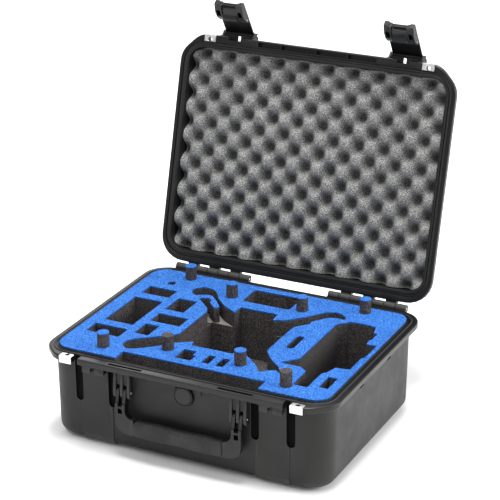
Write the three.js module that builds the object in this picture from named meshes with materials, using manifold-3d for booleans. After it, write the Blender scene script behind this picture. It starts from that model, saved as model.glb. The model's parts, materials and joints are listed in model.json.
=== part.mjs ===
// Drone carrying case: moulded hard case, lid open, with cut-out foam insert.
// Millimetres. X to the right along the front, Y to the back, Z up, ground at Z = 0.
// The lid and its latches are drawn closed and then turned to where they stand.
import * as THREE from 'three';
import { mergeVertices } from 'three/addons/utils/BufferGeometryUtils.js';
import Module from 'manifold-3d';

const wasm = await Module();
wasm.setup();

// ---------------------------------------------------------------- dimensions
const GAP = 0.3;                 // air left between neighbouring pieces
const FOOT_H = 5;                // feet below the moulded floor
const PARTING_Z = 159.5;         // height of the base rim face
const FOAM_TOP_Z = 163.5;        // top of the foam insert
const FOAM_X = 242;              // half width of the foam insert
const FOAM_Y = 181;              // half depth of the foam insert
const FOAM_R = 27;               // plan corner radius of the foam insert
const CAVITY = { x: 243, y: 182.5, r: 28 };
const RIM = { x: 260, y0: -206.5, y1: 202.5, rRear: 44 };
const RIM_CORNER = { leg: 35, blend: 17 };   // bevelled front corners of the rim
const FLANGE_H = 12.5;           // height of the rim flange on base and lid
const WALL = { x: 250, y: 189, r: 44 };
const DRAFT = 2;                 // taper of the outer wall from rim to floor
const BOTTOM_R = 16;             // rounding between wall and floor
const FLOOR_T = 4.5;             // moulded floor thickness
const LID_H = 55;                // outer height of the lid above its rim face
const LID_TOP_T = 4;             // thickness of the lid's top
const LID_FOAM_T = 20;           // uncut backing of the lid foam
const LID_OPEN = 104.7;          // degrees between lid and base rims
const HINGE = { y: 212, z: PARTING_Z, r: 6.5, pin: 2 };
const KNUCKLE = { pitch: 21, width: 20, count: 7, x0: 76 };
const LATCH_X = 158.5;           // centre of each latch
const LATCH = { y: -213, z: 184.5, half: 27, length: 76, horn: 81, plate: 3.4, open: 43 };
const TRIGGER = { y: -207.5, z: 140, half: 13, foot: 113 };
const GROOVE = { inner: 127.5, outer: 189.5, half: 7, bottom: 77 };
const FIELD = { x0: 128.5, x1: 187, proud: 1.6 };   // raised column under each latch
const KEEPER = { half: 20, y: -199, z0: 134, z1: 147 };
const PLATE_X = 205.5;           // padlock plates
const HANDLE = { x: 104, y: -198, z: 115, pin: 2 };
const GRIP = { z: 57, y: -203.5, height: 31 };
const VALVE = { x: 2.8, z: 126.5, r: 17, front: -193.3 };
const POST_R = 10;
const POST_H = 25;
const POSTS = [
  [-166.5, 160, true], [-66.5, 121.5, true], [66.5, 121.5, true], [166.5, 160, true],
  [-165, -151, true], [-65, -115, false], [66, -115, true], [163.5, -152, false],
];
const BLUE_T = 3;                // blue skin sheet
const LAYER_A_Z = 134;           // floor of the shallow pockets
const LAYER_B_Z = 70;            // floor of the deep pockets
// Each thick foam layer is drawn as blocks, so that each block bends round few cut-outs.
// The foam itself need not be divided here. A block is [name, x0, x1, y0, y1].
const FOAM_BLOCKS = [
  ['left_rear', -300, -154, 58.5, 300], ['left_front', -300, -154, -300, 58.5],
  ['inner_rear', -154, -62, 14, 300], ['inner_front', -154, -62, -300, 14],
  ['rear', -62, 60, 0, 300], ['front', -62, 60, -300, 0],
  ['right_rear', 60, 300, 26, 300], ['right_front', 60, 300, -300, 26],
];
const SIDES = [['left', -1], ['right', 1]];

// ---------------------------------------------------------------- materials
const material = (name, color, roughness = 0.6, metalness = 0) => {
  const m = new THREE.MeshStandardMaterial({ color, roughness, metalness });
  m.name = name;
  return m;
};
const shellBlack = () => material('shell_plastic', 0x2b2b2b, 0.55);
const latchBlack = () => material('latch_plastic', 0x181818, 0.45);
const rubberBlack = () => material('rubber', 0x1a1a1a, 0.85);
const steel = () => material('steel', 0xc8c8c4, 0.3, 1);
const charcoal = () => material('charcoal_foam', 0x3b3639, 0.95);
const blueFoam = () => material('blue_foam', 0x2f7fe0, 0.95);
const greyFoam = () => material('grey_foam', 0x95928c, 0.95);

// ---------------------------------------------------------------- solid tools
function toSolid(geometry) {
  const g = geometry.clone();
  g.deleteAttribute('normal');
  g.deleteAttribute('uv');
  const merged = mergeVertices(g, 1e-5);
  const index = merged.index ? merged.index.array : [...Array(merged.attributes.position.count).keys()];
  return new wasm.Manifold(new wasm.Mesh({
    numProp: 3,
    vertProperties: new Float32Array(merged.attributes.position.array),
    triVerts: new Uint32Array(index),
  }));
}

function toMesh(name, solid, mat) {
  const m = solid.getMesh();
  const g = new THREE.BufferGeometry();
  g.setAttribute('position', new THREE.BufferAttribute(new Float32Array(m.vertProperties), 3));
  g.setIndex(new THREE.BufferAttribute(new Uint32Array(m.triVerts), 1));
  g.computeVertexNormals();
  const mesh = new THREE.Mesh(g, mat);
  mesh.name = name;
  return mesh;
}

const union = (...parts) => parts.flat().reduce((a, b) => a.add(b));
const cut = (solid, ...tools) => tools.flat().reduce((a, b) => a.subtract(b), solid);

function box(x0, x1, y0, y1, z0, z1) {
  const g = new THREE.BoxGeometry(x1 - x0, y1 - y0, z1 - z0);
  g.translate((x0 + x1) / 2, (y0 + y1) / 2, (z0 + z1) / 2);
  return toSolid(g);
}

function cylinderX(x0, x1, y, z, r, segments = 16) {
  const g = new THREE.CylinderGeometry(r, r, x1 - x0, segments);
  g.rotateZ(Math.PI / 2);
  g.translate((x0 + x1) / 2, y, z);
  return toSolid(g);
}

function cylinderY(x, y0, y1, z, r, segments = 24) {
  const g = new THREE.CylinderGeometry(r, r, y1 - y0, segments);
  g.translate(x, (y0 + y1) / 2, z);
  return toSolid(g);
}

function cylinderZ(x, y, z0, z1, r, segments = 24) {
  const g = new THREE.CylinderGeometry(r, r, z1 - z0, segments);
  g.rotateX(Math.PI / 2);
  g.translate(x, y, (z0 + z1) / 2);
  return toSolid(g);
}

// Plan outline of a rounded rectangle: [x, y] points, rear corners first.
function roundRect(x0, x1, y0, y1, rFront, rRear = rFront, steps = 7) {
  const corners = [[x1, y1, 0, rRear, -1, -1], [x0, y1, 90, rRear, 1, -1],
    [x0, y0, 180, rFront, 1, 1], [x1, y0, 270, rFront, -1, 1]];
  const points = [];
  for (const [x, y, start, r, sx, sy] of corners) {
    for (let i = 0; i <= steps; i += 1) {
      const a = THREE.MathUtils.degToRad(start + (90 * i) / steps);
      points.push([x + sx * r + r * Math.cos(a), y + sy * r + r * Math.sin(a)]);
    }
  }
  return points;
}

// Closed solid through a list of [outline, height] rings with equal point counts.
// `place` maps (outline u, outline v, height) to X, Y, Z.
function loft(rings, place = (u, v, w) => [u, v, w]) {
  const n = rings[0][0].length;
  const positions = [];
  const faces = [];
  rings.forEach(([outline, w]) => outline.forEach(([u, v]) => positions.push(...place(u, v, w))));
  for (let k = 0; k + 1 < rings.length; k += 1) {
    for (let i = 0; i < n; i += 1) {
      const a = k * n + i;
      const b = k * n + ((i + 1) % n);
      faces.push(a, b, b + n, a, b + n, a + n);
    }
  }
  const top = (rings.length - 1) * n;
  for (let i = 1; i + 1 < n; i += 1) {
    faces.push(0, i + 1, i);
    faces.push(top, top + i, top + i + 1);
  }
  const g = new THREE.BufferGeometry();
  g.setAttribute('position', new THREE.Float32BufferAttribute(positions, 3));
  g.setIndex(faces);
  return toSolid(g);
}

const slab = (outline, z0, z1) => loft([[outline, z0], [outline, z1]]);

// Prism from any plan outline, extruded upward from z0 to z1.
function prism(points, z0, z1) {
  const shape = new THREE.Shape(points.map(([x, y]) => new THREE.Vector2(x, y)));
  const g = new THREE.ExtrudeGeometry(shape, { depth: z1 - z0, bevelEnabled: false });
  g.translate(0, 0, z0);
  return toSolid(g);
}

// Prism from a front-view outline of [x, z] points, from y0 (front) to y1 (back).
function frontPrism(points, y0, y1) {
  const shape = new THREE.Shape(points.map(([x, z]) => new THREE.Vector2(x, z)));
  const g = new THREE.ExtrudeGeometry(shape, { depth: y1 - y0, bevelEnabled: false });
  g.rotateX(Math.PI / 2);
  g.translate(0, y1, 0);
  return toSolid(g);
}

// Prism from a side-view outline of [y, z] points, from x0 to x1.
function sidePrism(points, x0, x1) {
  const shape = new THREE.Shape(points.map(([y, z]) => new THREE.Vector2(y, z)));
  const g = new THREE.ExtrudeGeometry(shape, { depth: x1 - x0, bevelEnabled: false });
  g.applyMatrix4(new THREE.Matrix4().set(0, 0, 1, x0, 1, 0, 0, 0, 0, 1, 0, 0, 0, 0, 0, 1));
  return toSolid(g);
}

// Group that turns what it holds by degrees about an axis along X through (y, z).
function turned(parent, degrees, y, z) {
  const pivot = new THREE.Group();
  const inner = new THREE.Group();
  pivot.position.set(0, y, z);
  pivot.rotation.x = THREE.MathUtils.degToRad(degrees);
  inner.position.set(0, -y, -z);
  pivot.add(inner);
  parent.add(pivot);
  return inner;
}

// ---------------------------------------------------------------- outlines

// Rim edge: round rear corners, bevelled front corners with soft ends.
function rimOutline(grow = 0) {
  const x1 = RIM.x + grow;
  const y0 = RIM.y0 - grow;
  const rear = roundRect(-x1, x1, y0, RIM.y1 + grow, 1, RIM.rRear + grow).slice(0, 16);
  const { leg, blend } = RIM_CORNER;
  const slant = blend * Math.SQRT1_2;
  const corner = new THREE.Path();
  corner.moveTo(0, leg + blend);
  corner.quadraticCurveTo(0, leg, slant, leg - slant);
  corner.lineTo(leg - slant, slant);
  corner.quadraticCurveTo(leg, 0, leg + blend, 0);
  const points = corner.getPoints(5).map((v) => [v.x, v.y]);
  const left = points.map(([u, v]) => [-x1 + u, y0 + v]);
  const right = points.map(([u, v]) => [x1 - u, y0 + v]).reverse();
  return [...rear, ...left, ...right];
}
const wallOutline = (inset = 0) => roundRect(-WALL.x + inset, WALL.x - inset,
  -WALL.y + inset, WALL.y - inset, WALL.r - inset);
const cavityOutline = (inset = 0) => roundRect(-CAVITY.x + inset, CAVITY.x - inset,
  -CAVITY.y + inset, CAVITY.y - inset, CAVITY.r - inset);
const foamOutline = (inset = 0) => roundRect(-FOAM_X + inset, FOAM_X - inset,
  -FOAM_Y + inset, FOAM_Y - inset, FOAM_R - inset, FOAM_R - inset, 6);
const sealOutline = (offset) => roundRect(-250.5 - offset, 250.5 + offset,
  -190.5 - offset, 190 + offset, 36 + offset, 36 + offset, 6);

const rectangle = (x0, x1, y0, y1) => [[x0, y0], [x1, y0], [x1, y1], [x0, y1]];

// Runs a list of line (L), arc-like quadratic (Q) and cubic (C) strokes.
function strokes(start, list) {
  const path = new THREE.Path();
  path.moveTo(...start);
  for (const [kind, ...values] of list) {
    if (kind === 'L') path.lineTo(...values);
    if (kind === 'Q') path.quadraticCurveTo(...values);
    if (kind === 'C') path.bezierCurveTo(...values);
  }
  const points = path.getPoints(4).map((v) => [v.x, v.y]);
  const last = points[points.length - 1];
  if (Math.hypot(last[0] - points[0][0], last[1] - points[0][1]) < 1e-6) points.pop();
  return points;
}

function stadium(x0, x1, y0, y1, r) {
  return roundRect(x0, x1, y0, y1, r, r, 3);
}

// Four-armed aircraft outline, hooked at both rear arms.
const aircraftOutline = () => strokes([-77, 45], [
  ['L', -77, -54], ['L', -84, -63.5], ['L', -134, -104],
  ['C', -146, -112, -147, -134, -129, -142], ['Q', -120, -142, -114, -137],
  ['L', -83, -110], ['L', -68, -90], ['L', -41, -72], ['L', -38, -85.5],
  ['L', 37, -85.5], ['L', 40, -72], ['Q', 62, -78, 90, -108], ['L', 105, -128],
  ['Q', 114, -115, 126, -110.5], ['L', 141, -121], ['L', 124, -95.5],
  ['Q', 104, -82, 84, -53], ['L', 82, -49], ['L', 82, 47], ['L', 84, 54],
  ['L', 101, 74], ['L', 100, 83], ['L', 110, 98], ['Q', 116, 112, 128, 115.5],
  ['Q', 138, 118, 146, 115], ['Q', 150, 122, 142, 130], ['Q', 122, 148, 102, 126],
  ['L', 84, 100], ['L', 59, 72.5], ['L', 39, 63.5], ['L', 37, 87.5],
  ['L', -33, 87.5], ['L', -33, 63.5], ['L', -60, 80], ['L', -86, 106],
  ['Q', -98, 130, -112, 136], ['Q', -132, 143, -141, 124], ['Q', -144, 108, -125, 98.5],
  ['Q', -112, 113, -98, 108.5], ['Q', -84, 96, -67, 74], ['Q', -66, 67, -73, 65.5],
  ['L', -90, 82.5], ['Q', -90, 94, -98, 97.5], ['Q', -108, 98, -115, 90.5],
  ['L', -82, 58],
]);

const aircraftBodyOutline = () => [
  [-77, 64], [-77, -56], [-60, -72], [-41, -72], [-38, -85.5], [37, -85.5], [40, -72],
  [62, -72], [82, -52], [82, 47], [66, 63.5], [39, 63.5], [37, 87.5], [-33, 87.5], [-33, 64],
];

const controllerOutline = () => strokes([118, -81.5], [
  ['L', 142, -54.5], ['L', 142, 92], ['Q', 143, 100, 153, 104.5], ['L', 157, 111.5],
  ['Q', 182, 119, 207, 110.5], ['L', 212, 88.5], ['L', 219, 86.5], ['L', 219, 60.5],
  ['L', 216, 60.5], ['L', 218, 43.5], ['L', 235, 43.5], ['L', 235, -8], ['L', 231, -10],
  ['L', 231, -57.5], ['L', 208, -60.5], ['L', 202, -82.5], ['L', 196, -89.5],
  ['L', 196, -144.5], ['L', 171, -144.5], ['L', 170, -92.5], ['L', 157, -81.5],
]);

const deepPockets = () => [
  controllerOutline(),
  rectangle(-216, -162, 68.5, 100.5),
  rectangle(-217, -163, -57.5, 48.5),
  rectangle(-146, -110, 23.5, 74.5),
  rectangle(-146, -90, -29.5, 4.5),
  rectangle(-146, -120, -83.5, -42.5),
  rectangle(-223, -161, -109.5, -76.5),
  stadium(-43, 46, 112.5, 165.5, 5),
];

const shallowPockets = () => [
  stadium(-195.5, -180.5, 120, 135, 7.4),
  stadium(103, 117, -26.5, 24.5, 6.5),
  rectangle(6, 19, -136.5, -106.5),
  rectangle(32, 45, -137.5, -107.5),
  rectangle(211, 227, -135.5, -95.5),
  [[-41, -138.5], [-12, -138.5], [-12, -118.5], [-18, -118.5], [-18, -103.5], [-41, -103.5]],
  rectangle(-126, 129, -FOAM_Y - 20, -154.5),
];

// ---------------------------------------------------------------- base
function baseOuter() {
  const rings = [];
  for (let i = 0; i <= 4; i += 1) {
    const a = (Math.PI / 2) * (i / 4);
    const inset = DRAFT + BOTTOM_R * (1 - Math.sin(a));
    rings.push([wallOutline(inset), FOOT_H + BOTTOM_R * (1 - Math.cos(a))]);
  }
  rings.push([wallOutline(0), PARTING_Z - FLANGE_H + 2]);
  return loft(rings);
}

function baseFlange() {
  const z = PARTING_Z - FLANGE_H;
  return loft([[rimOutline(-4), z], [rimOutline(0), z + 3], [rimOutline(0), PARTING_Z - 1.5],
    [rimOutline(-1.5), PARTING_Z]]);
}

// Recesses beside each latch that take the side walls of the lever.
function latchGrooves(s) {
  const grooves = [];
  for (const [centre, top] of [[GROOVE.inner, KEEPER.z1], [GROOVE.outer, PARTING_Z + 5]]) {
    const x = s * centre;
    const zc = GROOVE.bottom + GROOVE.half;
    grooves.push(box(x - GROOVE.half, x + GROOVE.half, -230, -184.8, zc, top));
    grooves.push(cylinderY(x, -230, -184.8, zc, GROOVE.half, 16));
  }
  return grooves;
}

// Raised column under each latch, following the wall down and round to the floor.
function latchField(s) {
  const x = [s * FIELD.x0, s * FIELD.x1].sort((a, b) => a - b);
  const side = [[-180, PARTING_Z - 8], [-WALL.y - FIELD.proud, PARTING_Z - 8]];
  const centre = [DRAFT + BOTTOM_R - WALL.y, FOOT_H + BOTTOM_R];
  for (let i = 0; i <= 5; i += 1) {
    const a = (Math.PI / 2) * (i / 6.5);
    const r = BOTTOM_R + FIELD.proud;
    side.push([centre[0] - r * Math.cos(a), centre[1] - r * Math.sin(a)]);
  }
  side.push([-172, FOOT_H + 4]);
  return sidePrism(side.reverse(), x[0], x[1]);
}

function keeper(s) {
  const x = s * LATCH_X;
  const block = sidePrism([[-187, KEEPER.z0 + 2], [KEEPER.y + 3, KEEPER.z0 + 2],
    [KEEPER.y + 3, KEEPER.z0], [KEEPER.y, KEEPER.z0], [KEEPER.y, KEEPER.z1 + 1],
    [-187, KEEPER.z1 + 1]], x - KEEPER.half, x + KEEPER.half);
  const slot = box(x - 5, x + 3.5, -220, -190.5, KEEPER.z0 - 5, KEEPER.z1 - 3.5);
  const slotTop = box(x - 0.5, x + 3.5, -220, -190.5, KEEPER.z1 - 4, KEEPER.z1 + 5);
  return cut(block, slot, slotTop);
}

function handleBracket(s) {
  const prongs = [];
  for (const offset of [-12.5, 0, 12.5]) {
    const x = s * HANDLE.x + offset;
    const side = [[-187, 106], [-192, 104], [-200, 104], [-203, 108], [-203, 120],
      [-201, 140], [-201, 149], [-187, 149]];
    prongs.push(sidePrism(side, x - 2.5, x + 2.5));
  }
  const web = box(s * HANDLE.x - 15, s * HANDLE.x + 15, -199, -187, 126, 149);
  const bore = cylinderX(s * HANDLE.x - 30, s * HANDLE.x + 30, HANDLE.y, HANDLE.z, HANDLE.pin + GAP);
  return cut(union(web, prongs), bore);
}

function foot(x, y0, y1) {
  return loft([[rectangle(x - 25.5, x + 25.5, y0 + 3, y1 - 3), 0],
    [rectangle(x - 28.5, x + 28.5, y0, y1), FOOT_H + 1],
    [rectangle(x - 28.5, x + 28.5, y0, y1), FOOT_H + 3]]);
}

const feet = () => SIDES.flatMap(([, s]) => [foot(s * 157, -168, -138), foot(s * 157, 138, 168)]);

// Knuckles of one hinge group; `first` picks every other place.
function knuckles(s, first, arm, r) {
  const parts = [];
  for (let i = first; i < KNUCKLE.count; i += 2) {
    const a = KNUCKLE.x0 + i * KNUCKLE.pitch;
    const x0 = s > 0 ? a : -a - KNUCKLE.width;
    const x1 = x0 + KNUCKLE.width;
    parts.push(cylinderX(x0, x1, HINGE.y, HINGE.z, r, 16));
    parts.push(sidePrism(arm, x0, x1));
  }
  return parts;
}

const hingeBore = (s) => cylinderX(s > 0 ? 70 : -230, s > 0 ? 230 : -70, HINGE.y, HINGE.z,
  HINGE.pin + GAP, 12);

function baseHinge(s) {
  const arm = [[200, HINGE.z - 11], [204, HINGE.z - 11], [HINGE.y + 5, HINGE.z - 4.2],
    [HINGE.y, HINGE.z], [HINGE.y - 6, HINGE.z - 1], [200, HINGE.z - 1]];
  return knuckles(s, 0, arm, HINGE.r);
}

// Seat of a padlock plate: rim face, front face and the padlock hole.
function plateSeat(s, zRim, direction) {
  const x = s * PLATE_X;
  const z = (a, b) => (direction > 0 ? [zRim - b, zRim + a] : [zRim - a, zRim + b]);
  return [
    box(x - 11.3, x + 11.3, -230, -193.7, ...z(5, 1.6)),
    box(x - 11.3, x + 11.3, -230, -204.6, ...z(5, FLANGE_H + 3)),
    cylinderZ(x, -198.3, zRim - 30, zRim + 30, 4.2, 16),
  ];
}

function plate(s, zRim, direction) {
  const x = s * PLATE_X;
  const z = (a, b) => (direction > 0 ? [zRim - b, zRim - a] : [zRim + a, zRim + b]);
  const leaf = union(box(x - 11, x + 11, -206.2, -194, ...z(0.2, 1.3)),
    box(x - 11, x + 11, -206.2, -204.9, ...z(0.2, FLANGE_H)));
  return cut(leaf, cylinderZ(x, -198.3, zRim - 30, zRim + 30, 4, 16));
}

function baseShell() {
  let shell = union(baseOuter(), baseFlange(), SIDES.map(([, s]) => latchField(s)));
  shell = cut(shell, loft([[cavityOutline(8), FOOT_H + FLOOR_T],
    [cavityOutline(0), FOOT_H + FLOOR_T + 8], [cavityOutline(0), PARTING_Z + 20]]));
  shell = cut(shell, SIDES.flatMap(([, s]) => latchGrooves(s)));
  const seal = cut(slab(sealOutline(1.2), PARTING_Z - 1, PARTING_Z + 1.8),
    slab(sealOutline(-1.2), PARTING_Z - 2, PARTING_Z + 3));
  const moat = cut(slab(sealOutline(-3.2), PARTING_Z - 2, PARTING_Z + 3),
    slab(sealOutline(-5.6), PARTING_Z - 3, PARTING_Z + 4));
  shell = cut(union(shell, seal), moat);
  shell = union(shell, feet(), SIDES.map(([, s]) => keeper(s)),
    SIDES.map(([, s]) => handleBracket(s)), SIDES.flatMap(([, s]) => baseHinge(s)));
  const rimSlots = SIDES.map(([, s]) => box(s * 98 - 30, s * 98 + 30, -202, -197,
    PARTING_Z - 5, PARTING_Z + 3));
  const sideSlots = [-51, 63].map((y) => box(248, 270, y - 8, y + 8, 134, 138));
  const pinHoles = box(32.4, 35, -200, -187, 133.5, 138.5);
  const valveBore = union(cylinderY(VALVE.x, -200, -170, VALVE.z, 12.3, 20),
    cylinderY(VALVE.x, -200, -187.6, VALVE.z, VALVE.r + 1.3, 36));
  return cut(shell, SIDES.map(([, s]) => hingeBore(s)), rimSlots, sideSlots, pinHoles,
    valveBore, SIDES.flatMap(([, s]) => plateSeat(s, PARTING_Z, 1)));
}

// ---------------------------------------------------------------- lid (drawn closed)
const LID_Z = PARTING_Z + GAP;

function lidOuter() {
  const rings = [[wallOutline(0), LID_Z + FLANGE_H - 2]];
  const top = LID_Z + LID_H;
  for (let i = 0; i <= 4; i += 1) {
    const a = (Math.PI / 2) * (i / 4);
    rings.push([wallOutline(DRAFT + 14 * (1 - Math.cos(a))), top - 14 + 14 * Math.sin(a)]);
  }
  return loft(rings);
}

function lidFlange() {
  const z = LID_Z;
  return loft([[rimOutline(-1.5), z], [rimOutline(0), z + 1.5], [rimOutline(0), z + FLANGE_H - 3],
    [rimOutline(-4), z + FLANGE_H]]);
}

// Two ears that carry the latch pin, standing on the lid's front wall.
function latchEars(s) {
  const side = [[-187, LID_Z + 6], [-206, LID_Z + 6], [-209, LATCH.z - 9], [-216.5, LATCH.z - 4.5],
    [-217.4, LATCH.z], [-215.5, LATCH.z + 4], [-210, LATCH.z + 7], [-187, LATCH.z + 12]];
  const ears = [-1, 1].map((e) => {
    const x = s * LATCH_X + e * (LATCH.half + 3);
    return sidePrism(side, x - 2, x + 2);
  });
  return ears;
}

// Thin wall between the ears, behind the lever, with a narrow slot.
function earWeb(s) {
  const x = s * LATCH_X;
  const web = box(x - 29, x + 29, -210.6, -186, LID_Z + 16.8, LID_Z + 18.8);
  const slotX = s * 156.5;
  return cut(web, box(slotX - 2.6, slotX + 2.6, -230, -199.5, LID_Z + 10, LID_Z + 25));
}

function lidHinge(s) {
  const arm = [[200, HINGE.z + 1], [HINGE.y - 6, HINGE.z + 1], [HINGE.y, HINGE.z],
    [HINGE.y + 5, HINGE.z + 4.2], [204, HINGE.z + 12], [200, HINGE.z + 12]];
  return knuckles(s, 1, arm, HINGE.r);
}

// Channel in the front of the lid rim, crossed by gussets.
function frontChannel() {
  const tools = [];
  const walls = [-112, -67, -1, 58, 112];
  for (let i = 0; i + 1 < walls.length; i += 1) {
    tools.push(box(walls[i] + 1, walls[i + 1] - 1, -203.5, -195.5, LID_Z - 2, LID_Z + 8));
  }
  return tools;
}

function lidShell() {
  let shell = union(lidOuter(), lidFlange());
  shell = cut(shell, loft([[cavityOutline(0), LID_Z - 20],
    [cavityOutline(0), LID_Z + LID_H - LID_TOP_T - 8],
    [cavityOutline(8), LID_Z + LID_H - LID_TOP_T]]));
  const groove = cut(slab(sealOutline(2.5), LID_Z - 2, LID_Z + 5),
    slab(sealOutline(-2.5), LID_Z - 3, LID_Z + 6));
  const panel = slab(roundRect(-205, 205, -140, 140, 30, 30, 4), LID_Z + LID_H - 1,
    LID_Z + LID_H + 2);
  shell = union(shell, panel, SIDES.flatMap(([, s]) => latchEars(s)),
    SIDES.map(([, s]) => earWeb(s)), SIDES.flatMap(([, s]) => lidHinge(s)));
  shell = cut(shell, groove, frontChannel());
  const pivots = SIDES.map(([, s]) => cylinderX(s * LATCH_X - 40, s * LATCH_X + 40, LATCH.y,
    LATCH.z, 2 + GAP, 12));
  const sight = SIDES.map(([, s]) => box(s * LATCH_X - 12, s * LATCH_X + 12, -230, -200.5,
    LID_Z - 5, LID_Z + 13));
  return cut(shell, SIDES.map(([, s]) => hingeBore(s)), pivots, sight,
    SIDES.flatMap(([, s]) => plateSeat(s, LID_Z, -1)));
}

function gasket() {
  return cut(slab(sealOutline(2.1), LID_Z + 2.4, LID_Z + 4.7),
    slab(sealOutline(-2.1), LID_Z, LID_Z + 6));
}

function lidFoam() {
  const top = LID_Z + LID_H - LID_TOP_T - GAP;
  return loft([[foamOutline(0), top - LID_FOAM_T], [foamOutline(0), top - 9], [foamOutline(8.5), top]]);
}

// ---------------------------------------------------------------- latches (drawn closed)
const latchPinBore = (s) => cylinderX(s * LATCH_X - 50, s * LATCH_X + 50, LATCH.y, LATCH.z, 2 + GAP, 12);
const triggerPinBore = (s) => cylinderX(s * LATCH_X - 50, s * LATCH_X + 50, TRIGGER.y, TRIGGER.z,
  1.5 + GAP, 12);

// Lever: barrel on the pin, outer plate, and a head of two blocks that end in horns.
function latchLever(s) {
  const x = s * LATCH_X;
  const h = LATCH.half;
  const z = LATCH.z;
  const yIn = LATCH.y + 2;
  const yOut = yIn - LATCH.plate;
  const tip = z - LATCH.length;
  const horn = z - LATCH.horn;
  const inner = TRIGGER.half + 0.8;
  const plateBody = box(x - h, x + h, yOut, yIn, tip, z - 3);
  const barrel = cylinderX(x - h, x + h, LATCH.y, z, 4.6, 16);
  const headSide = [[yIn - 1, z - 38], [yIn + 5.5, z - 40.5], [yIn + 8, z - 45],
    [yIn + 12, z - 55], [yIn + 12, z - 66], [yIn + 6.5, horn], [yOut, horn], [yOut, tip + 3],
    [yIn - 1, tip + 3]];
  const head = [-1, 1].map((e) => {
    const edges = [x + e * inner, x + e * h].sort((a, b) => a - b);
    const block = sidePrism(headSide, edges[0], edges[1]);
    const pocketX = [x + e * (inner + 3.2), x + e * (h - 3)].sort((a, b) => a - b);
    return cut(block, box(pocketX[0], pocketX[1], yIn + 4.5, yIn + 20, z - 69, z - 57),
      box(x - 19, x + 19, yOut - 1, yIn + 30, horn - 1, horn + 2.6));
  });
  const bar = box(x - h + 1, x + h - 1, yIn - 1, yIn + 3, tip, TRIGGER.foot - 1.2);
  const rib = box(x - h + 4, x + h - 4, yIn - 1, yIn + 1.4, z - 36.5, z - 34.5);
  const window = box(x - inner, x + inner, -230, -180, TRIGGER.foot - 1.2, TRIGGER.z + 5.7);
  return cut(union(plateBody, barrel, head, bar, rib), window, latchPinBore(s),
    triggerPinBore(s));
}

// Sprung block in the lever's window, with the claw that hooks under the keeper.
function trigger(s) {
  const x = s * LATCH_X;
  const claw = KEEPER.z0 - 1.2;
  const side = [[-210.5, 143], [-205, 144.5], [-203.2, 141], [-203.2, claw - 1.3],
    [-200.5, claw], [-194.5, claw], [-194.5, claw - 3.8], [-200, 124], [-201.5, 116],
    [-204, TRIGGER.foot], [-210.5, TRIGGER.foot]];
  const notch = box(x - 4.6, x + 4.6, -220, -200, TRIGGER.z - 4, TRIGGER.z + 8);
  return cut(sidePrism(side, x - TRIGGER.half, x + TRIGGER.half), triggerPinBore(s), notch);
}

const latchPin = (s) => cylinderX(s * LATCH_X - LATCH.half - 6.5, s * LATCH_X + LATCH.half + 6.5,
  LATCH.y, LATCH.z, 2, 12);
const triggerPin = (s) => cylinderX(s * LATCH_X - LATCH.half + 0.4, s * LATCH_X + LATCH.half - 0.4,
  TRIGGER.y, TRIGGER.z, 1.5, 12);

// Torsion spring on the trigger pin, drawn as its sleeve.
const triggerSpring = (s) => cut(
  cylinderX(s * LATCH_X - 4.2, s * LATCH_X + 4.2, TRIGGER.y, TRIGGER.z, 3.1, 12), triggerPinBore(s));

// ---------------------------------------------------------------- handle
// Rounded grip section of [y, z] points.
function gripSection(halfY, halfZ, n = 12) {
  const points = [];
  for (let i = 0; i < n; i += 1) {
    const a = (2 * Math.PI * (i + 0.5)) / n;
    const c = Math.cos(a);
    const d = Math.sin(a);
    points.push([GRIP.y + halfY * Math.sign(c) * Math.abs(c) ** 0.6,
      GRIP.z + halfZ * Math.sign(d) * Math.abs(d) ** 0.6]);
  }
  return points;
}

// One handle arm: two tines on the pin, a window and the bend into the bar.
function handleArm(s) {
  const x = s * HANDLE.x;
  const tines = [-6.25, 6.25].flatMap((offset) => {
    const x0 = x + offset - 2.5;
    const side = [[-203.5, HANDLE.z], [HANDLE.y + 5.2, HANDLE.z - 1], [HANDLE.y + 2.5, 84], [-209, 84]];
    return [cylinderX(x0, x0 + 5, HANDLE.y, HANDLE.z, 5.5, 16), sidePrism(side, x0, x0 + 5)];
  });
  const bend = strokes([8.75, 97], [['L', -8.75, 97], ['L', -8.75, 86],
    ['Q', -9.5, 74, -24, 71], ['L', -24, 44], ['L', -14, 44.5], ['Q', 7.5, 46, 8.75, 66]])
    .map(([u, z]) => [x + s * u, z]);
  return union(tines, frontPrism(s > 0 ? bend : bend.reverse(), -209, -198));
}

function handleFrame() {
  const bar = box(-HANDLE.x + 8, HANDLE.x - 8, -207.5, -199.5, 49, 65);
  const windows = SIDES.flatMap(([, s]) => [
    box(s * HANDLE.x - 3.75, s * HANDLE.x + 3.75, -230, -180, 92.5, 125),
    box(s * HANDLE.x - 3.75, s * HANDLE.x + 3.75, -230, -180, 80, 88.5),
  ]);
  const bores = SIDES.map(([, s]) => cylinderX(s * HANDLE.x - 20, s * HANDLE.x + 20, HANDLE.y,
    HANDLE.z, HANDLE.pin + GAP, 12));
  return cut(union(SIDES.map(([, s]) => handleArm(s)), bar), windows, bores);
}

// Rubber sleeve around the bar.
function handleGrip() {
  const half = GRIP.height / 2;
  const rings = [[-79.6, 9, half - 1], [-76, 9.4, half], [-40, 9.2, half - 0.2], [0, 9, half - 0.4],
    [40, 9.2, half - 0.2], [76, 9.4, half], [79.6, 9, half - 1]];
  const sleeve = loft(rings.map(([x, hy, hz]) => [gripSection(hy, hz), x]), (u, v, w) => [w, u, v]);
  return cut(sleeve, box(-120, 120, -207.8, -199.2, 48.7, 65.3));
}

const handlePin = (s) => cylinderX(s * HANDLE.x - 16.5, s * HANDLE.x + 16.5, HANDLE.y, HANDLE.z,
  HANDLE.pin, 12);

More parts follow.
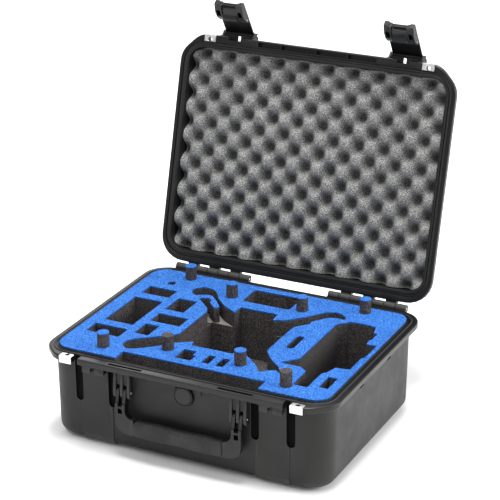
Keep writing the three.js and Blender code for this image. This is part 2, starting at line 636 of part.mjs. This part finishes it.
// ---------------------------------------------------------------- valve
const valveBody = () => cut(union(cylinderY(VALVE.x, VALVE.front, -190, VALVE.z, VALVE.r, 36),
  cylinderY(VALVE.x, -191, -183.2, VALVE.z, 12, 20)), cut(
  cylinderY(VALVE.x, -200, VALVE.front + 0.6, VALVE.z, VALVE.r - 1.6, 36),
  cylinderY(VALVE.x, -201, -190, VALVE.z, VALVE.r - 2.6, 36)));
const valveRing = () => cut(cylinderY(VALVE.x, -189.7, -187.9, VALVE.z, 16, 24),
  cylinderY(VALVE.x, -195, -180, VALVE.z, 13, 24));

// ---------------------------------------------------------------- foam insert
function foamLayer(z0, z1, holes) {
  const body = slab(foamOutline(), z0, z1);
  return cut(body, holes.map((outline) => prism(outline, z0 - 5, z1 + 5)));
}

// Part of a layer inside one of the blocks that it is drawn as.
function foamBlock(layer, [, x0, x1, y0, y1]) {
  const half = GAP / 2;
  return layer.intersect(box(x0 + half, x1 - half, y0 + half, y1 - half, 0, 300));
}

const floorPad = () => loft([[foamOutline(8.5), FOOT_H + FLOOR_T + GAP],
  [foamOutline(0), FOOT_H + FLOOR_T + 9], [foamOutline(0), LAYER_B_Z - GAP]]);

// Floor of the rear left arm, bending round the tip of the hook.
const restPadOutline = () => [[-36.2, 64.1], [-60.4, 79.2], [-85.2, 104], [-82.5, 94.5],
  [-66.2, 74.2], [-66.2, 69], [-68.5, 66.3], [-72.9, 64.9], [-73.4, 64.9], [-90.6, 82.2],
  [-93.5, 82.5], [-96, 73.4], [-82, 59.6], [-77.8, 59.6], [-77.6, 64.1]];

function foamPost([x, y], cap) {
  return cylinderZ(x, y, FOAM_TOP_Z + GAP, FOAM_TOP_Z + GAP + POST_H - (cap ? 2.3 : 0), POST_R, 20);
}

const foamCap = ([x, y]) => cylinderZ(x, y, FOAM_TOP_Z + POST_H - 1.7, FOAM_TOP_Z + POST_H + GAP,
  POST_R, 20);

// ---------------------------------------------------------------- assembly
const group = new THREE.Group();
group.name = 'drone_case';
const lid = turned(group, -LID_OPEN, HINGE.y, HINGE.z);
const latches = turned(lid, -LATCH.open, LATCH.y, LATCH.z);

function add(parent, name, solid, mat) {
  parent.add(toMesh(name, solid, mat));
}

function hingePin(s) {
  const x = [KNUCKLE.x0 + 0.5, KNUCKLE.x0 + 145.5];
  return cylinderX(...(s > 0 ? x : [-x[1], -x[0]]), HINGE.y, HINGE.z, HINGE.pin, 12);
}

add(group, 'base_shell', baseShell(), shellBlack());
add(lid, 'lid_shell', lidShell(), shellBlack());
add(lid, 'lid_gasket', gasket(), rubberBlack());
add(lid, 'lid_foam', lidFoam(), charcoal());
for (const [side, s] of SIDES) {
  add(group, `hinge_pin_${side}`, hingePin(s), steel());
  add(latches, `latch_lever_${side}`, latchLever(s), latchBlack());
  add(lid, `latch_pin_${side}`, latchPin(s), steel());
  add(latches, `latch_trigger_${side}`, trigger(s), latchBlack());
  add(latches, `trigger_pin_${side}`, triggerPin(s), steel());
  add(latches, `trigger_spring_${side}`, triggerSpring(s), steel());
  add(group, `base_plate_${side}`, plate(s, PARTING_Z, 1), steel());
  add(lid, `lid_plate_${side}`, plate(s, LID_Z, -1), steel());
  add(group, `handle_pin_${side}`, handlePin(s), steel());
}
add(group, 'handle_frame', handleFrame(), latchBlack());
add(group, 'handle_grip', handleGrip(), rubberBlack());
add(group, 'valve_body', valveBody(), latchBlack());
add(group, 'valve_ring', valveRing(), rubberBlack());

const pockets = [...deepPockets(), ...shallowPockets()];
const upperHoles = [aircraftOutline(), ...pockets];
const sheetZ = FOAM_TOP_Z - BLUE_T;
add(group, 'foam_blue_sheet', foamLayer(sheetZ, FOAM_TOP_Z, upperHoles), blueFoam());
const upper = foamLayer(LAYER_A_Z, sheetZ - GAP, upperHoles);
const lower = foamLayer(LAYER_B_Z, LAYER_A_Z - GAP, [aircraftBodyOutline(), ...deepPockets()]);
for (const block of FOAM_BLOCKS) {
  add(group, `foam_upper_${block[0]}`, foamBlock(upper, block), charcoal());
  add(group, `foam_lower_${block[0]}`, foamBlock(lower, block), charcoal());
}
add(group, 'foam_floor_pad', floorPad(), charcoal());
add(group, 'foam_rest_pad', prism(restPadOutline(), LAYER_A_Z + GAP, LAYER_A_Z + 1.5), greyFoam());
POSTS.forEach((post, i) => {
  add(group, `foam_post_${i + 1}`, foamPost(post, post[2]), charcoal());
  if (post[2]) add(group, `foam_post_cap_${i + 1}`, foamCap(post), blueFoam());
});

export default group;
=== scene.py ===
"""Drone carrying case, lid open: the visible surfaces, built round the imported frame.

Metres, X to the right along the front, Y to the back, Z up, ground at Z = 0.
Lid pieces are drawn with the lid closed and then turned to where the lid stands.
"""
import json
import math

import bmesh
import bpy
from mathutils import Matrix, Vector, noise


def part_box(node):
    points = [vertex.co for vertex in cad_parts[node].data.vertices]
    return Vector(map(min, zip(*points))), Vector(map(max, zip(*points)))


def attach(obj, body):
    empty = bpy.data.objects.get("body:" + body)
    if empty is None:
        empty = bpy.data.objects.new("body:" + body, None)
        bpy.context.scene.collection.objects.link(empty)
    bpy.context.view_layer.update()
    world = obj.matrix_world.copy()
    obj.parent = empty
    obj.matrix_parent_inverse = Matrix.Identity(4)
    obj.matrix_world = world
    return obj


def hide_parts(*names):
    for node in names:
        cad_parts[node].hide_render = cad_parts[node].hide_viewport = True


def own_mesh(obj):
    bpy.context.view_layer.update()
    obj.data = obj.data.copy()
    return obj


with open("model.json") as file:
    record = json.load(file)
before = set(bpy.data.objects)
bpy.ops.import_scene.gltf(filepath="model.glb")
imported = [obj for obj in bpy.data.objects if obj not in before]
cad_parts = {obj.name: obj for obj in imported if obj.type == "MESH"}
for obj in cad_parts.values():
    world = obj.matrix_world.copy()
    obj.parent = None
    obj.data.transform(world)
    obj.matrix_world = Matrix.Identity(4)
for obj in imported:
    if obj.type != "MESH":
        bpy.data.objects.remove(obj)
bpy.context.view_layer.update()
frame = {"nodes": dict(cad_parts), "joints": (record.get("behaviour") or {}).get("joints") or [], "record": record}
NODES = frame["nodes"]
JOINTS = {joint["name"]: joint for joint in frame["joints"]}
BODY_OF = {
    node: body
    for body, nodes in frame["record"]["behaviour"]["bodies"].items()
    for node in nodes
}
SIDES = (("left", -1), ("right", 1))

# ---------------------------------------------------------------- dimensions
LID_HINGE = Vector(JOINTS["lid_hinge"]["pos_m"])
LID_OPEN = math.radians(JOINTS["lid_hinge"]["range_deg"][1])
LID_RIM = LID_HINGE.z + 0.0003          # rim face of the closed lid
LID_BACK = 0.2025                       # rear edge of the rim
FLANGE_H = 0.0130                       # rim flange of base and lid, with its rounded edge
GROOVES = (0.1275, 0.1895)              # centres of the grooves beside each latch, either side
GROOVE_HALF = 0.0072
GROOVE_Z = (0.069, 0.1470)
FRONT_SKIN = -0.1886                    # the wall's outer face lies in front of this
RIM_EDGE = 0.0004                       # how far the rim's rounded edge may stand out
FOAM_HALF = (0.242, 0.181)              # half width and depth of every foam layer
FOAM_R = 0.027                          # its plan corner radius
CRATE_PITCH = (0.0473, 0.050)           # egg-crate period across and along the lid
CRATE_VALLEY = (0.020, 0.026)           # one valley, from the middle and from the rear edge
CRATE_PEAK_DEPTH = 0.007                # peaks below the rim face
CRATE_VALLEY_DEPTH = 0.0305             # valleys below the rim face
CRATE_BACK_DEPTH = 0.0507               # glued back of the foam below the rim face
CRATE_SWAY = 0.0005                     # unevenness of the cut foam
CRATE_STEP = 0.0024                     # grid of the egg-crate surface
SPRING_TURNS = 5
SPRING_WIRE = 0.00045                   # radius of the spring wire
GRIP_RIB = 0.065                        # height of the grip pattern, as a share of its radius
BLOCK_EDGE = 0.0002                     # edges of the foam blocks, fine so that cuts hardly show

CAMERA_AT = (1.2702, -2.5512, 1.4646)
CAMERA_LOOKS = (-0.4058, 0.8328, -0.3766)
CAMERA_LENS = 135.7


# ---------------------------------------------------------------- mesh tools
def link(name, mesh):
    """New object for a mesh, in the scene."""
    obj = bpy.data.objects.new(name, mesh)
    bpy.context.scene.collection.objects.link(obj)
    return obj


def from_bmesh(name, bm):
    """New object from a bmesh, which is freed."""
    mesh = bpy.data.meshes.new(name)
    bm.normal_update()
    bm.to_mesh(mesh)
    bm.free()
    return link(name, mesh)


def smooth(obj, degrees=35):
    """Smooth shading, sharp only where faces meet at more than the given angle."""
    obj.data.polygons.foreach_set("use_smooth", [True] * len(obj.data.polygons))
    obj.data.set_sharp_from_angle(angle=math.radians(degrees))


def skin_loops(bm, loops):
    """Closed skin through loops of vertices with equal counts, with both ends capped."""
    around = len(loops[0])
    for a, b in zip(loops, loops[1:]):
        for i in range(around):
            j = (i + 1) % around
            bm.faces.new((a[i], a[j], b[j], b[i]))
    bm.faces.new(list(reversed(loops[0])))
    bm.faces.new(loops[-1])
    bmesh.ops.recalc_face_normals(bm, faces=bm.faces)


def apply_modifiers(obj):
    """Replaces the mesh with its modified one."""
    depsgraph = bpy.context.evaluated_depsgraph_get()
    mesh = bpy.data.meshes.new_from_object(obj.evaluated_get(depsgraph))
    obj.modifiers.clear()
    obj.data = mesh


def rounded(obj, width, segments=2, degrees=32):
    """Rounds every sharp edge of a mesh and keeps its flat faces flat."""
    bevel = obj.modifiers.new("edges", "BEVEL")
    bevel.width = width
    bevel.segments = segments
    bevel.limit_method = "ANGLE"
    bevel.angle_limit = math.radians(degrees)
    bevel.use_clamp_overlap = False
    bevel.miter_outer = "MITER_ARC"
    obj.data.polygons.foreach_set("use_smooth", [True] * len(obj.data.polygons))
    normals = obj.modifiers.new("normals", "WEIGHTED_NORMAL")
    normals.keep_sharp = True
    apply_modifiers(obj)


def refined(node, width, segments=2, degrees=32):
    """Copy of a CAD node with its edges rounded."""
    bm = bmesh.new()
    bm.from_mesh(NODES[node].data)
    bmesh.ops.remove_doubles(bm, verts=bm.verts, dist=1e-6)
    obj = from_bmesh(node + "_skin", bm)
    rounded(obj, width, segments, degrees)
    return obj


def place(obj, node, material):
    """Puts a finished piece in the place of a CAD node, with its material."""
    obj.data.materials.clear()
    obj.data.materials.append(material)
    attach(obj, BODY_OF[node])
    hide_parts(node)
    return obj


def lid_turn():
    """Turn that takes a point of the closed lid to where the lid stands."""
    return (
        Matrix.Translation(LID_HINGE)
        @ Matrix.Rotation(-LID_OPEN, 4, "X")
        @ Matrix.Translation(-LID_HINGE)
    )


def opened(obj):
    """Turns a mesh drawn with the lid closed to where the lid stands."""
    obj.data.transform(lid_turn())
    return obj


# ---------------------------------------------------------------- material tools
def linear(*srgb):
    """Linear RGBA from 0-255 display values."""
    def one(value):
        value /= 255
        return value / 12.92 if value <= 0.04045 else ((value + 0.055) / 1.055) ** 2.4
    return (*[one(value) for value in srgb], 1.0)


class Shader:
    """Node tree of one material, with short helpers."""

    def __init__(self, name):
        self.material = bpy.data.materials.new(name)
        self.material.use_nodes = True
        self.tree = self.material.node_tree
        self.tree.nodes.clear()
        self.out = self.node("ShaderNodeOutputMaterial")
        self.bsdf = self.node("ShaderNodeBsdfPrincipled")
        self.join(self.bsdf.outputs[0], self.out.inputs[0])
        self.where = self.node("ShaderNodeTexCoord").outputs["Object"]

    def node(self, kind, **values):
        made = self.tree.nodes.new(kind)
        for key, value in values.items():
            setattr(made, key, value)
        return made

    def join(self, output, socket):
        self.tree.links.new(output, socket)

    def set(self, **values):
        for key, value in values.items():
            self.bsdf.inputs[key.replace("_", " ")].default_value = value

    def noise(self, scale, detail=2.0, rough=0.5):
        made = self.node("ShaderNodeTexNoise")
        made.inputs["Scale"].default_value = scale
        made.inputs["Detail"].default_value = detail
        made.inputs["Roughness"].default_value = rough
        self.join(self.where, made.inputs["Vector"])
        return made.outputs["Fac"]

    def cells(self, scale):
        made = self.node("ShaderNodeTexVoronoi")
        made.inputs["Scale"].default_value = scale
        self.join(self.where, made.inputs["Vector"])
        return made.outputs["Distance"]

    def ramp(self, value, *stops):
        made = self.node("ShaderNodeValToRGB")
        elements = made.color_ramp.elements
        while len(elements) < len(stops):
            elements.new(0.5)
        for element, (at, color) in zip(elements, stops):
            element.position = at
            element.color = color
        self.join(value, made.inputs[0])
        return made.outputs[0]

    def mix(self, share, a, b, blend="MIX"):
        made = self.node("ShaderNodeMix", data_type="RGBA", blend_type=blend)
        for socket, value in ((made.inputs[0], share), (made.inputs[6], a), (made.inputs[7], b)):
            if isinstance(value, (int, float, tuple)):
                socket.default_value = value
            else:
                self.join(value, socket)
        return made.outputs[2]

    def bump(self, height, distance, strength=1.0, below=None):
        made = self.node("ShaderNodeBump")
        made.inputs["Distance"].default_value = distance
        made.inputs["Strength"].default_value = strength
        self.join(height, made.inputs["Height"])
        if below is not None:
            self.join(below, made.inputs["Normal"])
        return made.outputs[0]

    def finish(self, color, normal, rough=None):
        self.join(color, self.bsdf.inputs["Base Color"])
        self.join(normal, self.bsdf.inputs["Normal"])
        if rough is not None:
            self.join(rough, self.bsdf.inputs["Roughness"])
        return self.material


def grey(value):
    return (value, value, value, 1.0)


def moulded_plastic(name, dark, light, roughness, grain=0.00010, gloss=0.36):
    """Matt moulded plastic: fine texture, faint flow marks, paler worn edges."""
    s = Shader(name)
    s.set(Metallic=0.0, IOR=1.45, Specular_IOR_Level=gloss)
    tone = s.ramp(s.noise(7, 4), (0.35, dark), (0.7, light))
    fleck = s.ramp(s.noise(900, 3, 0.7), (0.42, grey(0.78)), (0.62, grey(1.0)))
    body = s.mix(1.0, tone, fleck, "MULTIPLY")
    edge = s.ramp(s.node("ShaderNodeNewGeometry").outputs["Pointiness"],
                  (0.515, grey(0.0)), (0.56, grey(1.0)))
    worn = tuple(min(1.0, value * 2.0 + 0.012) for value in light[:3]) + (1.0,)
    color = s.mix(edge, body, worn)
    fine = s.bump(s.noise(1300, 3, 0.6), grain)
    normal = s.bump(s.noise(24, 2), 0.0004, 0.5, fine)
    rough = s.ramp(s.noise(30, 5, 0.6), (0.3, grey(roughness - 0.05)), (0.7, grey(roughness + 0.07)))
    return s.finish(color, normal, rough)


def rubber(name, dark, light):
    """Moulded rubber with a fine pebbled skin."""
    s = Shader(name)
    s.set(Metallic=0.0)
    color = s.ramp(s.noise(60, 4), (0.35, dark), (0.7, light))
    fine = s.bump(s.cells(600), 0.0003, 0.7)
    rough = s.ramp(s.noise(40, 3), (0.3, grey(0.55)), (0.7, grey(0.72)))
    return s.finish(color, fine, rough)


def plated_steel(name):
    """Bright plated steel with fine scratches and dulled patches."""
    s = Shader(name)
    s.set(Metallic=1.0)
    color = s.ramp(s.noise(120, 4), (0.35, grey(0.62)), (0.7, grey(0.9)))
    stretched = s.node("ShaderNodeMapping")
    stretched.inputs["Scale"].default_value = (60, 1400, 1400)
    s.join(s.where, stretched.inputs["Vector"])
    scratches = s.node("ShaderNodeTexNoise")
    scratches.inputs["Scale"].default_value = 1.0
    s.join(stretched.outputs[0], scratches.inputs["Vector"])
    normal = s.bump(scratches.outputs["Fac"], 0.00005, 0.6)
    rough = s.ramp(s.noise(90, 4), (0.3, grey(0.2)), (0.7, grey(0.42)))
    return s.finish(color, normal, rough)


def open_foam(name, dark, middle, light, pore=620, depth=0.0007, painted_hollow_shade=None):
    """Cell foam with a grain of pores and cell walls. Given hollow limits, painted shade darkens the concave
    parts.
    """
    s = Shader(name)
    s.set(Metallic=0.0, Roughness=0.95, Specular_IOR_Level=0.15)
    grain = s.ramp(s.noise(pore, 3, 0.75), (0.36, dark), (0.5, middle), (0.66, light))
    blotch = s.ramp(s.noise(18, 3), (0.3, grey(0.88)), (0.7, grey(1.0)))
    color = s.mix(1.0, grain, blotch, "MULTIPLY")
    if painted_hollow_shade is not None:
        # painted shade: concave parts, found by pointiness, are darkened where shade falls in the hollows
        curve = s.node("ShaderNodeNewGeometry").outputs["Pointiness"]
        shade = s.ramp(curve, (painted_hollow_shade[0], grey(0.3)), (painted_hollow_shade[1], grey(1.0)))
        color = s.mix(1.0, color, shade, "MULTIPLY")
    cell = s.bump(s.cells(pore * 1.5), depth, 0.6)
    normal = s.bump(s.noise(pore, 3, 0.7), depth, 0.9, cell)
    return s.finish(color, normal)


SHELL = moulded_plastic("shell_plastic_look", linear(22, 22, 21), linear(31, 31, 30), 0.52)
# rim plastic: smoother than the shell, and darker than it partly as painted shade
RIM = moulded_plastic("rim_plastic_and_painted_shade_look", linear(9, 9, 9), linear(15, 15, 15), 0.34, 0.00003)
# groove plastic: painted shade in the grooves beside the latches
GROOVE = moulded_plastic("groove_painted_shade_look", linear(5, 5, 5), linear(9, 9, 9), 0.75, gloss=0.08)
LATCH = moulded_plastic("latch_plastic_look", linear(8, 8, 9), linear(14, 14, 14), 0.38, 0.00005)
GRIP = rubber("grip_rubber_look", linear(10, 10, 10), linear(24, 24, 23))
SEAL = rubber("seal_rubber_look", linear(14, 14, 14), linear(24, 24, 24))
STEEL = plated_steel("plated_steel_look")
CHARCOAL = open_foam("charcoal_foam_look", linear(26, 24, 26), linear(64, 60, 61), linear(122, 116, 114))
# ledge foam: a paler grey than the charcoal, its paleness partly painted light where the shelf catches the light
LEDGE_PAINTED_LIGHT = open_foam("grey_foam_and_painted_light_look", linear(90, 88, 84), linear(120, 117, 112), linear(150, 147, 142))
# the crate foam gets painted shade in its hollows
CRATE = open_foam("crate_foam_look", linear(62, 62, 62), linear(124, 124, 123), linear(196, 196, 194),
                  painted_hollow_shade=(0.46, 0.535))
BLUE = open_foam("blue_foam_look", linear(10, 48, 108), linear(30, 90, 174), linear(98, 156, 224),
                 700, 0.0004)


# ---------------------------------------------------------------- hard parts
def set_flange_finish_and_painted_shade(obj, closed_height):
    """Gives a shell's flange a smoother finish, darker than the shell partly as painted shade, and paints shade
    into its grooves as a dull near-black plastic.
    """
    obj.data.materials.append(RIM)
    obj.data.materials.append(GROOVE)
    for face in obj.data.polygons:
        if 0 <= closed_height(face.center) <= FLANGE_H:
            # flange faces: smoother plastic, partly darkened as painted shade
            face.material_index = 1
        elif in_groove(face.center):
            # groove faces: painted shade in the recess
            face.material_index = 2


def in_groove(point):
    """True inside one of the two upright grooves beside each latch, on the front wall."""
    across = min(abs(abs(point.x) - middle) for middle in GROOVES)
    return across < GROOVE_HALF and GROOVE_Z[0] < point.z < GROOVE_Z[1] and FRONT_SKIN < point.y < 0


def lid_height(point):
    """Height of a point of the standing lid above its rim face, measured as if closed."""
    turn = Matrix.Rotation(LID_OPEN, 3, "X")
    return (turn @ (point - LID_HINGE)).z + LID_HINGE.z - LID_RIM + RIM_EDGE


def base_height(point):
    """Depth of a point of the base below its rim face."""
    return LID_HINGE.z + RIM_EDGE - point.z


def hard_parts():
    """Every moulded, rubber and steel node, with its edges rounded."""
    plain = {
        "base_shell": (SHELL, 0.0007),
        "lid_shell": (SHELL, 0.0007),
        "lid_gasket": (SEAL, 0.0006),
        "handle_frame": (LATCH, 0.0007),
        "valve_ring": (SEAL, 0.0003),
        "valve_body": (LATCH, 0.0006),
    }
    for side, _ in SIDES:
        plain["latch_lever_" + side] = (LATCH, 0.0006)
        plain["latch_trigger_" + side] = (LATCH, 0.0006)
        for pin in ("hinge_pin_", "latch_pin_", "trigger_pin_", "handle_pin_"):
            plain[pin + side] = (STEEL, 0.0003)
        for plate in ("base_plate_", "lid_plate_"):
            plain[plate + side] = (STEEL, 0.00035)
    for node, (material, width) in plain.items():
        place(refined(node, width), node, material)
    set_flange_finish_and_painted_shade(bpy.data.objects["base_shell_skin"], base_height)
    set_flange_finish_and_painted_shade(bpy.data.objects["lid_shell_skin"], lid_height)


def superellipse(half_y, half_z, power, count):
    """Rounded section as (y, z) points."""
    points = []
    for i in range(count):
        angle = 2 * math.pi * i / count
        c = math.cos(angle)
        d = math.sin(angle)
        points.append((
            half_y * math.copysign(abs(c) ** power, c),
            half_z * math.copysign(abs(d) ** power, d),
        ))
    return points


def grip():
    """Rubber sleeve of the handle, swollen at its ends and covered with low ribs."""
    low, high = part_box("handle_grip")
    middle = (low + high) / 2
    half = (high - low) / 2
    rings, around = 220, 56
    bm = bmesh.new()
    loops = []
    for k in range(rings + 1):
        u = -1 + 2 * k / rings
        end = max(0.0, (abs(u) - 0.965) / 0.035)
        swell = 1 - 0.07 * math.cos(u * math.pi) ** 2 - 0.16 * end ** 2
        loop = []
        for i, (y, z) in enumerate(superellipse(half.y, half.z, 0.6, around)):
            turn = 2 * math.pi * i / around
            rib = math.sin(u * 32 * math.pi) * math.cos(turn * 12)
            out = swell * (1 + (GRIP_RIB * rib if end == 0 else 0)) * (1 - GRIP_RIB)
            at = Vector((middle.x + u * half.x, middle.y + y * out, middle.z + z * out))
            loop.append(bm.verts.new(at))
        loops.append(loop)
    skin_loops(bm, loops)
    obj = from_bmesh("grip_sleeve", bm)
    smooth(obj, 50)
    place(obj, "handle_grip", GRIP)


def torsion_spring(side):
    """Wound wire round the trigger's pin."""
    node = "trigger_spring_" + side
    low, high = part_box(node)
    middle = (low + high) / 2
    radius = (high.z - low.z) / 2 - SPRING_WIRE
    steps, around = SPRING_TURNS * 20, 8
    bm = bmesh.new()
    loops = []
    for k in range(steps + 1):
        turn = 2 * math.pi * SPRING_TURNS * k / steps
        x = low.x + SPRING_WIRE + (high.x - low.x - 2 * SPRING_WIRE) * k / steps
        out = Vector((0, math.cos(turn), math.sin(turn)))
        centre = Vector((x, middle.y, middle.z)) + out * radius
        loop = []
        for i in range(around):
            angle = 2 * math.pi * i / around
            step = out * math.cos(angle) * SPRING_WIRE + Vector((math.sin(angle) * SPRING_WIRE, 0, 0))
            loop.append(bm.verts.new(centre + step))
        loops.append(loop)
    skin_loops(bm, loops)
    obj = from_bmesh("wound_spring_" + side, bm)
    smooth(obj, 50)
    place(obj, node, STEEL)


# ---------------------------------------------------------------- foam
def foam_parts():
    """Cut foam layers, posts and caps, with softened edges."""
    looks = {
        "foam_blue_sheet": (BLUE, 0.0006),
        "foam_floor_pad": (CHARCOAL, 0.0015),
        # the rest pad's pale grey is partly painted light
        "foam_rest_pad": (LEDGE_PAINTED_LIGHT, 0.0006),
    }
    for node in NODES:
        if node.startswith("foam_post_cap"):
            looks[node] = (BLUE, 0.0005)
        elif node.startswith("foam_post"):
            looks[node] = (CHARCOAL, 0.0006)
        elif node.startswith(("foam_upper_", "foam_lower_")):
            looks[node] = (CHARCOAL, BLOCK_EDGE)
    for node, (material, width) in looks.items():
        place(refined(node, width), node, material)


def crate_depth(x, v):
    """Depth below the rim face of the egg-crate surface, x across and v from the rear edge."""
    wave = -math.cos(2 * math.pi * (x - CRATE_VALLEY[0]) / CRATE_PITCH[0])
    wave *= math.cos(2 * math.pi * (v - CRATE_VALLEY[1]) / CRATE_PITCH[1])
    low = ((1 - wave) / 2) ** 1.7
    return CRATE_PEAK_DEPTH + (CRATE_VALLEY_DEPTH - CRATE_PEAK_DEPTH) * low


def onto_outline(x, y):
    """Moves a point that lies past a rounded plan corner onto it."""
    cx = FOAM_HALF[0] - FOAM_R
    cy = FOAM_HALF[1] - FOAM_R
    dx = abs(x) - cx
    dy = abs(y) - cy
    far = math.hypot(dx, dy)
    if dx <= 0 or dy <= 0 or far <= FOAM_R:
        return x, y
    return (math.copysign(cx + dx * FOAM_R / far, x), math.copysign(cy + dy * FOAM_R / far, y))


def egg_crate():
    """Convoluted foam in the lid: waves on top, straight cut sides, glued back."""
    columns = round(2 * FOAM_HALF[0] / CRATE_STEP)
    rows = round(2 * FOAM_HALF[1] / CRATE_STEP)
    back = LID_RIM + CRATE_BACK_DEPTH
    bm = bmesh.new()
    top = {}
    for i in range(columns + 1):
        for j in range(rows + 1):
            x = FOAM_HALF[0] * (2 * i / columns - 1)
            y = FOAM_HALF[1] * (2 * j / rows - 1)
            x, y = onto_outline(x, y)
            sway = CRATE_SWAY * noise.noise(Vector((x, y, 0)) * 60)
            depth = crate_depth(x, LID_BACK - y) + sway
            top[i, j] = bm.verts.new((x, y, LID_RIM + depth))
    for i in range(columns):
        for j in range(rows):
            corners = [top[i, j], top[i + 1, j], top[i + 1, j + 1], top[i, j + 1]]
            bm.faces.new(corners)
    bmesh.ops.remove_doubles(bm, verts=bm.verts, dist=1e-5)
    bmesh.ops.dissolve_degenerate(bm, edges=bm.edges, dist=1e-5)
    rim = [edge for edge in bm.edges if edge.is_boundary]
    wall = bmesh.ops.extrude_edge_only(bm, edges=rim)["geom"]
    for vert in (g for g in wall if isinstance(g, bmesh.types.BMVert)):
        vert.co.z = back
    floor = [e for e in wall if isinstance(e, bmesh.types.BMEdge) and e.is_boundary]
    bmesh.ops.contextual_create(bm, geom=floor)
    bmesh.ops.recalc_face_normals(bm, faces=bm.faces)
    obj = opened(from_bmesh("crate_foam", bm))
    smooth(obj, 50)
    place(obj, "lid_foam", CRATE)
    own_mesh(obj)


# ---------------------------------------------------------------- stage
def floor():
    """Plain pale floor, larger than any view of the case."""
    half = 14.0
    mesh = bpy.data.meshes.new("floor")
    corners = [(-half, -half, 0), (half, -half, 0), (half, half, 0), (-half, half, 0)]
    mesh.from_pydata(corners, [], [(0, 1, 2, 3)])
    obj = link("floor", mesh)
    s = Shader("floor_look")
    s.set(Roughness=0.9, Specular_IOR_Level=0.1)
    color = s.ramp(s.noise(2, 2), (0.3, grey(0.9)), (0.7, grey(0.92)))
    obj.data.materials.append(s.finish(color, s.bump(s.noise(300), 0.0001, 0.2)))


def area_light(name, at, toward, size, power):
    """Soft square light aimed at a point."""
    data = bpy.data.lights.new(name, "AREA")
    data.shape = "RECTANGLE"
    data.size = size[0]
    data.size_y = size[1]
    data.energy = power
    obj = bpy.data.objects.new(name, data)
    bpy.context.scene.collection.objects.link(obj)
    obj.location = at
    aim = Vector(toward) - Vector(at)
    obj.rotation_euler = aim.to_track_quat("-Z", "Y").to_euler()


def studio():
    """White surround, soft lights overhead, right and front, and one on the floor behind."""
    world = bpy.data.worlds.new("surround")
    world.use_nodes = True
    world.node_tree.nodes["Background"].inputs[0].default_value = (1, 1, 1, 1)
    world.node_tree.nodes["Background"].inputs[1].default_value = 0.66
    bpy.context.scene.world = world
    bpy.context.scene.view_settings.view_transform = "Standard"
    area_light("overhead", (0.2, 0.0, 3.4), (0, 0, 0.2), (1.5, 0.8), 130)
    area_light("right", (3.2, 0.9, 1.5), (0, 0, 0.2), (1.6, 1.6), 95)
    area_light("front", (-0.4, -2.4, 3.4), (0, 0, 0.3), (2.0, 1.2), 36)
    area_light("backdrop", (-2.0, 4.5, 3.2), (-2.0, 4.5, 0), (3.5, 3.5), 160)


def camera():
    """Camera at the front right, a little above the open lid."""
    data = bpy.data.cameras.new("camera")
    data.sensor_width = 36
    data.lens = CAMERA_LENS
    data.clip_end = 60
    obj = bpy.data.objects.new("camera", data)
    bpy.context.scene.collection.objects.link(obj)
    obj.location = CAMERA_AT
    obj.rotation_euler = Vector(CAMERA_LOOKS).to_track_quat("-Z", "Y").to_euler()
    bpy.context.scene.camera = obj


camera()
studio()
floor()
hard_parts()
grip()
for side_name, _ in SIDES:
    torsion_spring(side_name)
foam_parts()
egg_crate()
